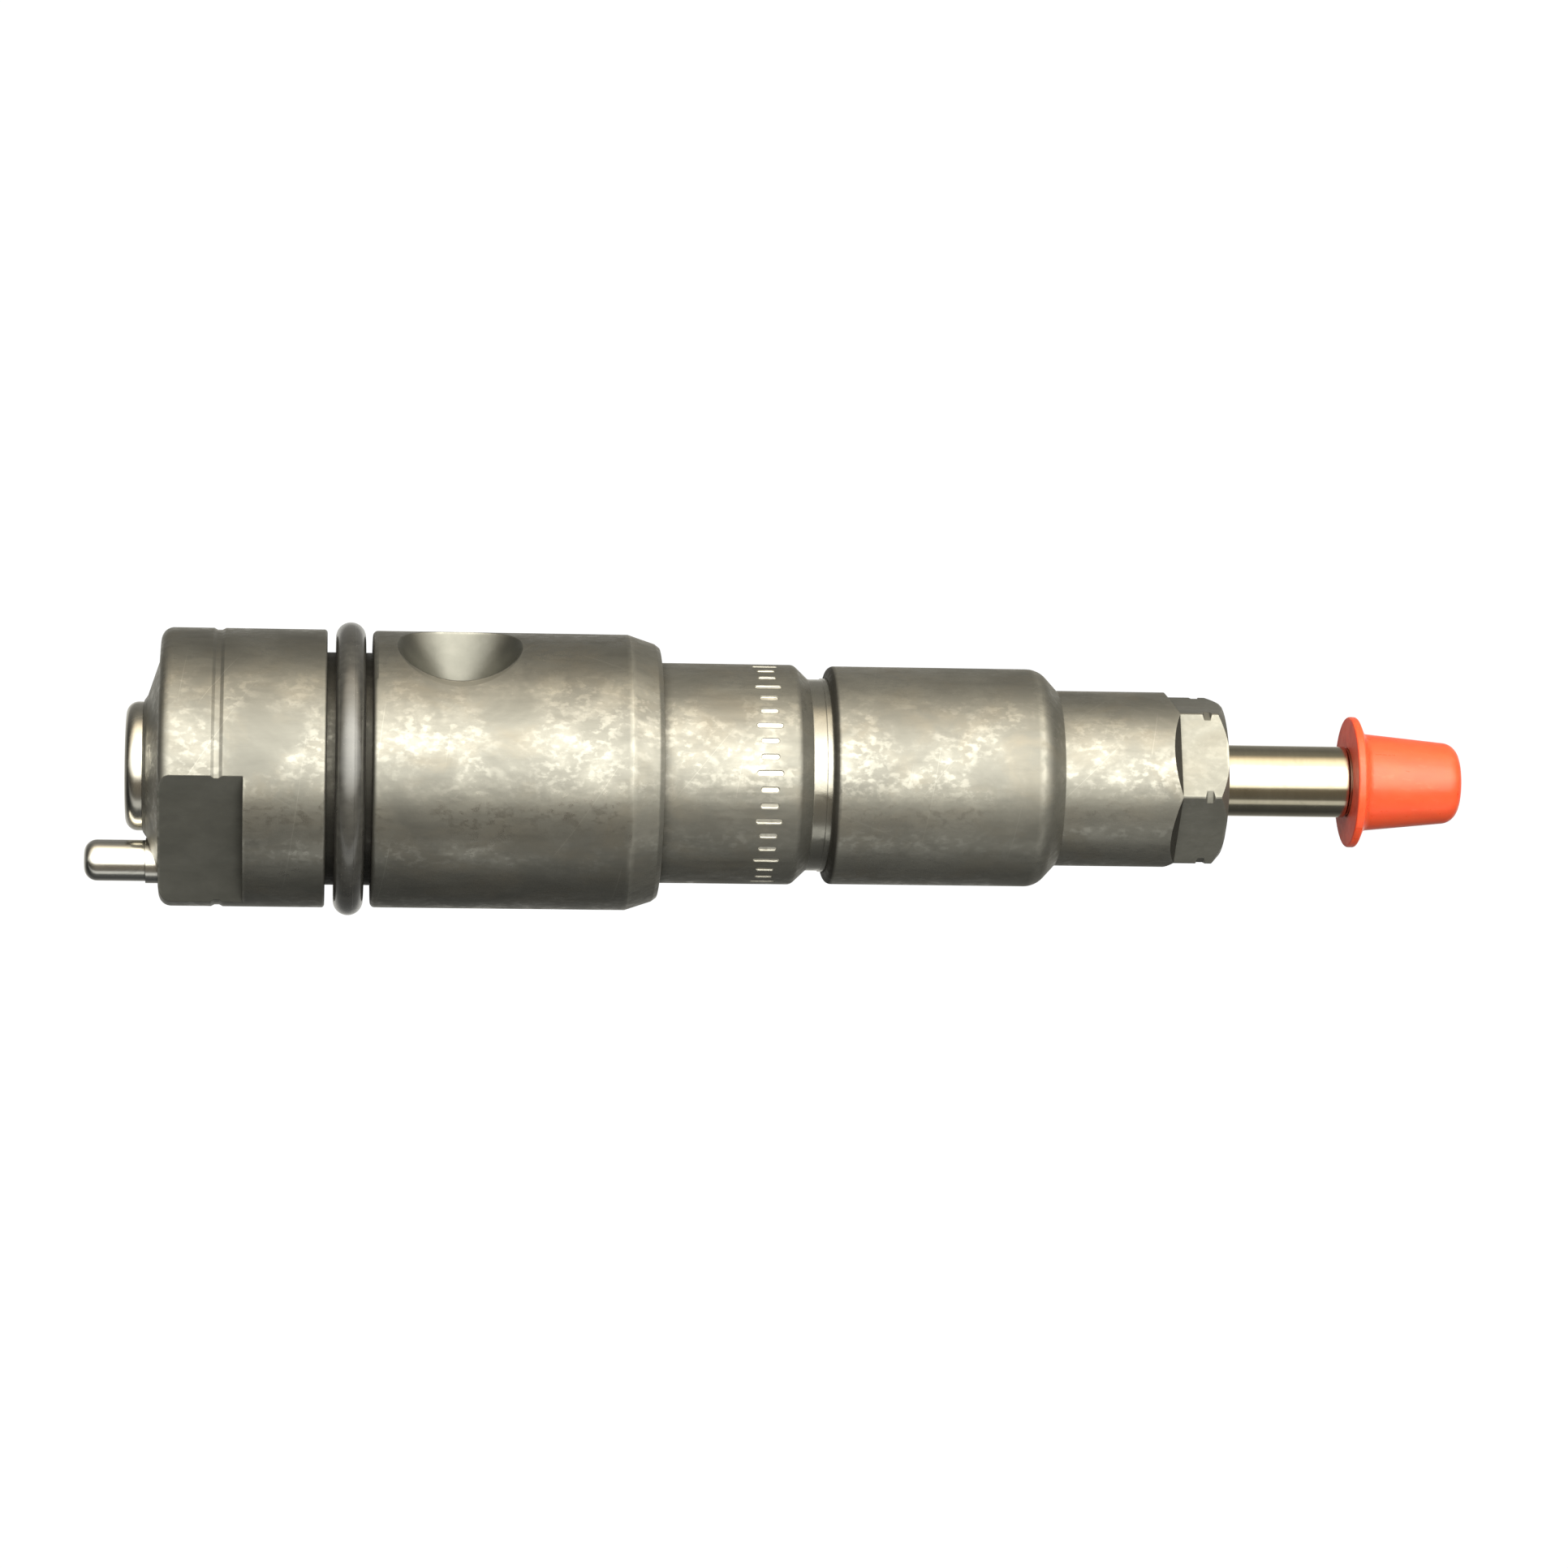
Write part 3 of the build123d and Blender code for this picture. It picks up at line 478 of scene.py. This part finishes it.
def phosphated_steel(name, offset, fresh, plain, smooth, shade, wear_and_sheen_x, head_end):
    """Dark oiled steel, cloudy where it is rubbed, pale on its edges.

    Each of the first four takes the material and gives a share from 0 to 1: fresh where the coating is cut
    through, plain where it is milled and even, smooth where it is polished, shade where painted shade darkens
    it.
    Corners and gaps get painted shade too.
    The argument after shade gives the place and half width of a pale band on an edge too blunt for m.edges()
    to find:
    wear on the holder's lead-in, and on the nut's shoulder fillet a painted highlight as well as wear.
    The coating is darker and smoother behind head_end.
    """
    m = Material(name, offset)
    drift = m.noise(14.0, (0.8, 1, 1), 2.0, 0.45, 0.3, shift=8.8)
    cloud = m.noise(6.0, (0.8, 1, 1), 4.0, 0.55, 0.5)
    patch = m.noise(2.3, (0.7, 1, 1), 5.0, 0.60, 0.3, shift=4.1)
    brown = m.noise(5.0, (0.7, 1, 1), 4.0, 0.6, 0.8, shift=9.3)
    fleck = m.noise(0.62, (0.7, 1, 1), 3.0, 0.55, shift=2.2)
    grain = m.noise(0.15, (1, 1, 1), 2.0, 0.5, shift=6.4)
    lines = m.noise(0.14, (1, 0.02, 0.02), 2.0, 0.6, shift=1.7)
    smear = m.noise(1.0, (0.25, 1, 1), 4.0, 0.6, shift=7.5)

    even = plain(m)
    polish = smooth(m)
    uneven = m.math("SUBTRACT", 1.0, even)
    clouded = m.range(cloud, 0.38, 0.62, smooth=True)
    rubbed = m.product(m.range(patch, 0.42, 0.70, smooth=True), clouded, uneven)
    clouded = m.range(cloud, 0.36, 0.58, smooth=True)
    flecks = m.product(m.range(fleck, 0.47, 0.64, smooth=True), clouded, uneven)
    x, half = wear_and_sheen_x
    # A pale band: wear on the holder's lead-in edge; on the nut's shoulder fillet it is also a painted
    # highlight.
    blunt = m.math("MULTIPLY", m.band(m.x, x - half, x + half, 0.8 * half), 0.5)
    worn = m.range(m.noise(0.9, detail=4.0, shift=3.3), 0.28, 0.60)
    edge = m.math("MULTIPLY", m.math("MAXIMUM", m.edges(0.4), blunt), worn)
    # Painted shade: corners and gaps, found by occlusion, are painted nearly black, less on polished metal,
    # and so are the places that shade gives.
    gaps = m.math("MULTIPLY", m.crevices(1.6), m.range(polish, 0.0, 1.0, 1.0, 0.35))
    painted_shade = m.math("MAXIMUM", gaps, shade(m))
    scratch = m.scratches(0.9, 3.1, 16.0, 0.05, 1.5)
    scratch = m.math("MAXIMUM", scratch, m.scratches(-0.42, 4.3, 12.0, 0.04, 5.5))
    scratch = m.math("MAXIMUM", scratch, m.scratches(1.42, 2.3, 14.0, 0.05, 9.5))
    scratch = m.product(scratch, uneven, m.math("SUBTRACT", 1.0, polish))

    milled = m.mix(m.range(patch, 0.35, 0.68), rgb(0.170, 0.170, 0.149), rgb(0.215, 0.213, 0.188))
    colour = m.mix(m.range(cloud, 0.28, 0.72), rgb(0.215, 0.212, 0.189), rgb(0.325, 0.318, 0.282))
    colour = m.over(colour, m.range(drift, 0.44, 0.60, smooth=True), 0.55, rgb(0.195, 0.192, 0.172))
    colour = m.over(colour, m.range(brown, 0.48, 0.76), 0.45, rgb(0.305, 0.268, 0.205))
    colour = m.over(colour, m.range(smear, 0.45, 0.72), 0.40, rgb(0.165, 0.162, 0.145))
    colour = m.over(colour, rubbed, 0.44, rgb(0.430, 0.420, 0.374))
    colour = m.over(colour, flecks, 0.28, rgb(0.520, 0.508, 0.455))
    colour = m.over(colour, even, 0.9, milled)
    colour = m.mix(m.range(m.x, head_end - 0.1, head_end + 0.1, 0.16, 0.0), colour, rgb(0.0, 0.0, 0.0))
    colour = m.over(colour, polish, m.range(even, 0.0, 1.0, 0.55, 0.25), rgb(0.470, 0.455, 0.400))
    colour = m.over(colour, scratch, 0.17, rgb(0.58, 0.565, 0.51))
    # Pale edges: wear, and on the nut's shoulder fillet a painted highlight too.
    colour = m.over(colour, edge, 0.55, rgb(0.60, 0.585, 0.52))
    # Painted shade over corners, gaps and the shaded places.
    colour = m.over(colour, painted_shade, 0.85, rgb(0.022, 0.020, 0.017))
    cut = fresh(m)
    colour = m.mix(cut, colour, rgb(0.80, 0.78, 0.70))
    rough = m.total(
        (cloud, -0.10),
        (flecks, -0.12),
        (rubbed, -0.06),
        (edge, -0.10),
        (painted_shade, 0.15),
        (polish, -0.28),
        (cut, -0.12),
        (drift, 0.10),
        (m.range(m.x, head_end - 0.1, head_end + 0.1, -0.055, 0.0), 1.0),
        (0.485, 1.0),
    )
    height = m.total(
        (patch, 0.45),
        (fleck, 0.35),
        (grain, 0.08),
        (lines, 0.10),
        (scratch, -0.06),
        (smear, 0.15),
    )
    m.set(Base_Color=colour, Metallic=0.9, Roughness=rough)
    m.bump(height, 0.018, 0.14)
    return m.material


def steel(name, offset, tone, tint, roughness, spread, lines=(1, 0.02, 0.02)):
    """Bare machined steel: fine tool lines, faint stains, small scratches, paler edges and painted shade in
    corners and gaps.
    """
    m = Material(name, offset)
    cloud = m.noise(3.5, (0.6, 1, 1), 4.0, 0.6, 0.4)
    stain = m.noise(1.6, (0.8, 1, 1), 5.0, 0.62, 0.6, shift=3.7)
    fine = m.noise(0.09, lines, 3.0, 0.65, shift=1.3)
    coarse = m.noise(0.45, lines, 2.0, 0.5, shift=5.1)
    speck = m.noise(0.25, (1, 1, 1), 2.0, 0.5, shift=8.2)
    edge = m.product(m.edges(0.25), m.range(speck, 0.35, 0.6))
    scratch = m.math("MAXIMUM", m.scratches(0.6, 1.3, 6.0, 0.03, 2.5), m.scratches(1.35, 1.7, 8.0, 0.03, 6.5))
    colour = m.mix(m.range(cloud, 0.30, 0.72), rgb(*tone), rgb(*tint))
    colour = m.over(colour, m.range(stain, 0.56, 0.72), 0.35, rgb(*(0.55 * c for c in tint)))
    colour = m.over(colour, m.range(coarse, 0.35, 0.65), 0.12, rgb(*(0.7 * c for c in tone)))
    colour = m.over(colour, edge, 0.5, rgb(0.86, 0.84, 0.79))
    # Painted shade in corners and gaps.
    colour = m.over(colour, m.crevices(0.5), 0.7, rgb(0.06, 0.05, 0.04))
    rough = m.total(
        (cloud, spread),
        (fine, spread),
        (stain, spread),
        (scratch, 0.08),
        (roughness - 1.5 * spread, 1.0),
    )
    m.set(Base_Color=colour, Metallic=1.0, Roughness=rough)
    height = m.total((fine, 0.5), (coarse, 0.5), (scratch, -0.4), (speck, 0.2))
    m.bump(height, 0.004, 0.1)
    return m.material


def rubber(name):
    """Black rubber with an oily film, dust in the film and a faint mould line round the outside."""
    m = Material(name, (3.0, 1.0, 2.0))
    low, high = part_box("body_o_ring")
    film = m.noise(2.0, (1, 1, 1), 4.0, 0.6, 0.4)
    dust = m.noise(0.22, (1, 1, 1), 3.0, 0.6, shift=4.0)
    wear = m.noise(0.8, (0.4, 1, 1), 3.0, 0.55, shift=7.0)
    middle = (low.x + high.x) / 2 / MM
    start = middle + MOULD_LINE_OFF_MIDDLE
    line = m.band(m.x, start, start + MOULD_LINE_WIDTH, 0.02)
    line = m.math("MULTIPLY", line, m.range(m.radius, *MOULD_LINE_RADII))
    specks = m.math("MULTIPLY", m.range(dust, 0.62, 0.72), m.range(film, 0.4, 0.6))
    colour = m.mix(m.range(wear, 0.35, 0.65), rgb(0.034, 0.033, 0.030), rgb(0.050, 0.049, 0.044))
    colour = m.over(colour, specks, 0.4, rgb(0.26, 0.25, 0.22))
    rough = m.total((film, -0.14), (wear, 0.08), (specks, 0.25), (0.33, 1.0))
    m.set(Base_Color=colour, Roughness=rough, Specular_IOR_Level=1.0)
    m.set(Coat_Weight=0.6, Coat_Roughness=0.08, Coat_IOR=1.7)
    m.bump(m.total((wear, 0.4), (dust, 0.15), (line, 1.0)), 0.02)
    return m.material


def moulded_plastic(name):
    """Soft orange-red plastic: flow marks, scuffs, fine grain and paler rubbed rims, with painted shade in
    corners and on faces turned towards the head end.
    """
    m = Material(name, (1.0, 5.0, 3.0))
    flow = m.noise(3.0, (0.35, 1, 1), 4.0, 0.55, 0.6)
    grain = m.noise(0.18, (1, 1, 1), 3.0, 0.6, shift=2.0)
    scuff = m.noise(0.7, (0.3, 1, 1), 4.0, 0.6, shift=6.0)
    dimple = m.noise(1.4, (1, 1, 1), 2.0, 0.5, shift=9.0)
    edge = m.product(m.edges(0.35), m.range(scuff, 0.3, 0.65))
    scuffs = m.range(scuff, 0.60, 0.74)
    colour = m.mix(m.range(flow, 0.30, 0.70), rgb(0.78, 0.085, 0.028), rgb(0.86, 0.115, 0.042))
    colour = m.over(colour, scuffs, 0.22, rgb(0.92, 0.26, 0.15))
    colour = m.over(colour, edge, 0.35, rgb(0.94, 0.24, 0.13))
    # Painted shade: faces turned towards the head end are darkened and made rougher, and corners and gaps are
    # darkened.
    turned_back = m.range(m.facing_x(), -0.9, -0.6, 1.0, 0.0)
    shaded_back_face = m.math("MULTIPLY", turned_back, m.range(flow, 0.25, 0.6, 0.95, 0.7))
    painted_cap_shade = m.math("MAXIMUM", m.math("MULTIPLY", m.crevices(0.8), 0.6), m.math("MULTIPLY", shaded_back_face, 0.9))
    colour = m.mix(painted_cap_shade, colour, rgb(0.30, 0.016, 0.008))
    rough = m.total((flow, 0.10), (scuff, 0.20), (grain, 0.05), (shaded_back_face, 0.28), (0.14, 1.0))
    m.set(Base_Color=colour, Roughness=rough, Specular_IOR_Level=0.5, Subsurface_Weight=0.35)
    m.shader.inputs["Subsurface Radius"].default_value = (1.0, 0.25, 0.1)
    m.shader.inputs["Subsurface Scale"].default_value = 2.5 * MM
    m.bump(m.total((grain, 0.3), (scuff, 0.2), (dimple, 1.0), (flow, 0.6)), 0.03, 0.12)
    return m.material


def nothing(m):
    return 0.0


def nut_rear(m):
    """Where the retaining nut begins, in millimetres."""
    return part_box("retaining_nut")[0].x / MM


def holder_fresh(m):
    """Bare metal in the engraved strokes."""
    stroke_x = nut_rear(m) - STROKES_BEHIND_NUT
    strokes = m.band(m.x, stroke_x - STROKE_REACH, stroke_x + STROKE_REACH, 0.05)
    deep = m.range(m.radius, STROKE_FLOOR_RADIUS + 0.01, STROKE_FLOOR_RADIUS + 0.07, 1.0, 0.0)
    return m.product(strokes, deep, m.range(m.noise(0.6, detail=3.0, shift=5.9), 0.25, 0.5, 0.55, 1.0))


def holder_plain(m):
    """The wrench flats on the head, which are milled."""
    head_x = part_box("thrust_button")[0].x / MM
    sideways = m.math("MULTIPLY", m.y, -math.sin(FLATS_ANGLE))
    lift = m.math("MULTIPLY_ADD", m.z, math.cos(FLATS_ANGLE), sideways)
    on_flat = m.range(m.math("ABSOLUTE", lift), FLATS_WIDTH / 2 - 0.03, FLATS_WIDTH / 2 - 0.01)
    end_x = head_x + FLATS_REACH + FLATS_RUN_OUT
    flats = m.math("MULTIPLY", on_flat, m.range(m.x, end_x, end_x + 0.1, 1.0, 0.0))
    return m.math("MAXIMUM", flats, inlet_cone(m))


def inlet_x():
    """The place of the fuel inlet's axis along the injector, which its mount gives, in millimetres."""
    places = {mount["name"]: mount["pos_m"] for mount in frame["record"]["mounts"]}
    return places["inlet_cone"][0] / MM


def inlet_within(m, radius):
    """1 within a radius of the fuel inlet's axis."""
    off_x = m.math("SUBTRACT", m.x, inlet_x())
    off_axis = m.math("SQRT", m.math("ADD", m.square(off_x), m.square(m.y)))
    inside = m.range(off_axis, radius - 0.05, radius + 0.02, 1.0, 0.0)
    return m.math("MULTIPLY", inside, m.range(m.z, 0.0, 1.0))


def inlet_cone(m):
    """The seat of the fuel inlet."""
    return inlet_within(m, INLET_MOUTH_RADIUS)


def holder_shade(m):
    """The drilled passages at the bottom of the inlet, which get painted shade because little light reaches
    into them.
    """
    height = m.math("SUBTRACT", m.z, FEED_PASSAGE_HEIGHT)
    off_axis = m.math("SQRT", m.math("ADD", m.square(height), m.square(m.y)))
    feed = m.range(off_axis, FEED_PASSAGE_RADIUS + 0.02, FEED_PASSAGE_RADIUS + 0.1, 1.0, 0.0)
    feed = m.math("MULTIPLY", feed, m.range(m.x, inlet_x(), inlet_x() + 1.0))
    return m.math("MAXIMUM", inlet_within(m, INLET_PASSAGE_RADIUS + 0.08), feed)


def holder_smooth(m):
    """The neck in front of the retaining nut, which is turned bare, and the inlet's cone."""
    start = nut_rear(m) - NECK_BEHIND_NUT
    neck = m.range(m.x, start - 0.1, start + 0.1)
    return m.math("MAXIMUM", neck, m.math("MULTIPLY", inlet_cone(m), 0.2))


def nut_plain(m):
    """The hexagon."""
    return m.range(m.x, -HEX_LENGTH - 0.1, -HEX_LENGTH, 0.0, 0.55)


def nut_shade(m):
    """Painted shade on the rounded rear edge and on the slopes where the hexagon's flats run out."""
    rear = nut_rear(m)
    turned_back = m.range(m.facing_x(), -0.45, -0.06, 1.0, 0.0)
    edge = m.product(m.range(m.x, rear + 0.8, rear + 1.0, 1.0, 0.0), turned_back)
    slopes = m.band(m.x, -HEX_LENGTH - HEX_RUN_OUT, -HEX_LENGTH - 0.02, 0.02)
    slopes = m.product(slopes, m.range(m.facing_x(), 0.25, 0.45), 0.95)
    return m.math("MAXIMUM", edge, slopes)


holder_steel = phosphated_steel(
    "phosphated_holder",
    (0, 0, 0),
    holder_fresh,
    holder_plain,
    holder_smooth,
    holder_shade,
    (LEAD_IN_START, 0.25),
    LEAD_IN_START,
)
coat(holder_steel, "holder_body")
nut_steel = phosphated_steel(
    "phosphated_nut",
    (17, 5, 9),
    nothing,
    nut_plain,
    nothing,
    nut_shade,
    # The nut's pale shoulder band, a painted highlight as well as wear.
    (SHOULDER_START, 0.30),
    LEAD_IN_START,
)
coat(nut_steel, "retaining_nut")
coat(
    steel("turned_button", (2, 1, 4), (0.62, 0.60, 0.54), (0.72, 0.69, 0.61), 0.22, 0.10, (1, 0.03, 0.03)),
    "thrust_button",
)
coat(
    steel("polished_pin", (5, 2, 1), (0.74, 0.73, 0.68), (0.82, 0.80, 0.74), 0.21, 0.07, (0.02, 1, 1)),
    "locating_pin",
)
coat(steel("ground_nozzle", (4, 4, 1), (0.56, 0.51, 0.385), (0.64, 0.59, 0.46), 0.15, 0.06), "nozzle_body")
coat(steel("lapped_needle", (7, 4, 1), (0.64, 0.62, 0.57), (0.70, 0.68, 0.62), 0.12, 0.04), "nozzle_needle")
coat(
    steel("bright_steel", (8, 3, 6), (0.58, 0.57, 0.53), (0.66, 0.64, 0.58), 0.26, 0.08),
    "pressure_shim",
    "spring_washer",
    "spring_seat",
    "pressure_pin",
    "intermediate_disc",
    "holder_dowels",
    "nozzle_dowels",
)
wire = steel("spring_wire", (1, 7, 3), (0.24, 0.24, 0.25), (0.33, 0.32, 0.31), 0.34, 0.10, (1, 1, 1))
coat(wire, "nozzle_spring")
add_spring(wire)
coat(rubber("oily_rubber"), "body_o_ring")
coat(moulded_plastic("cap_plastic"), "nozzle_cap")

add_camera()
add_floor()
set_world()
bpy.context.scene.view_settings.view_transform = "Standard"
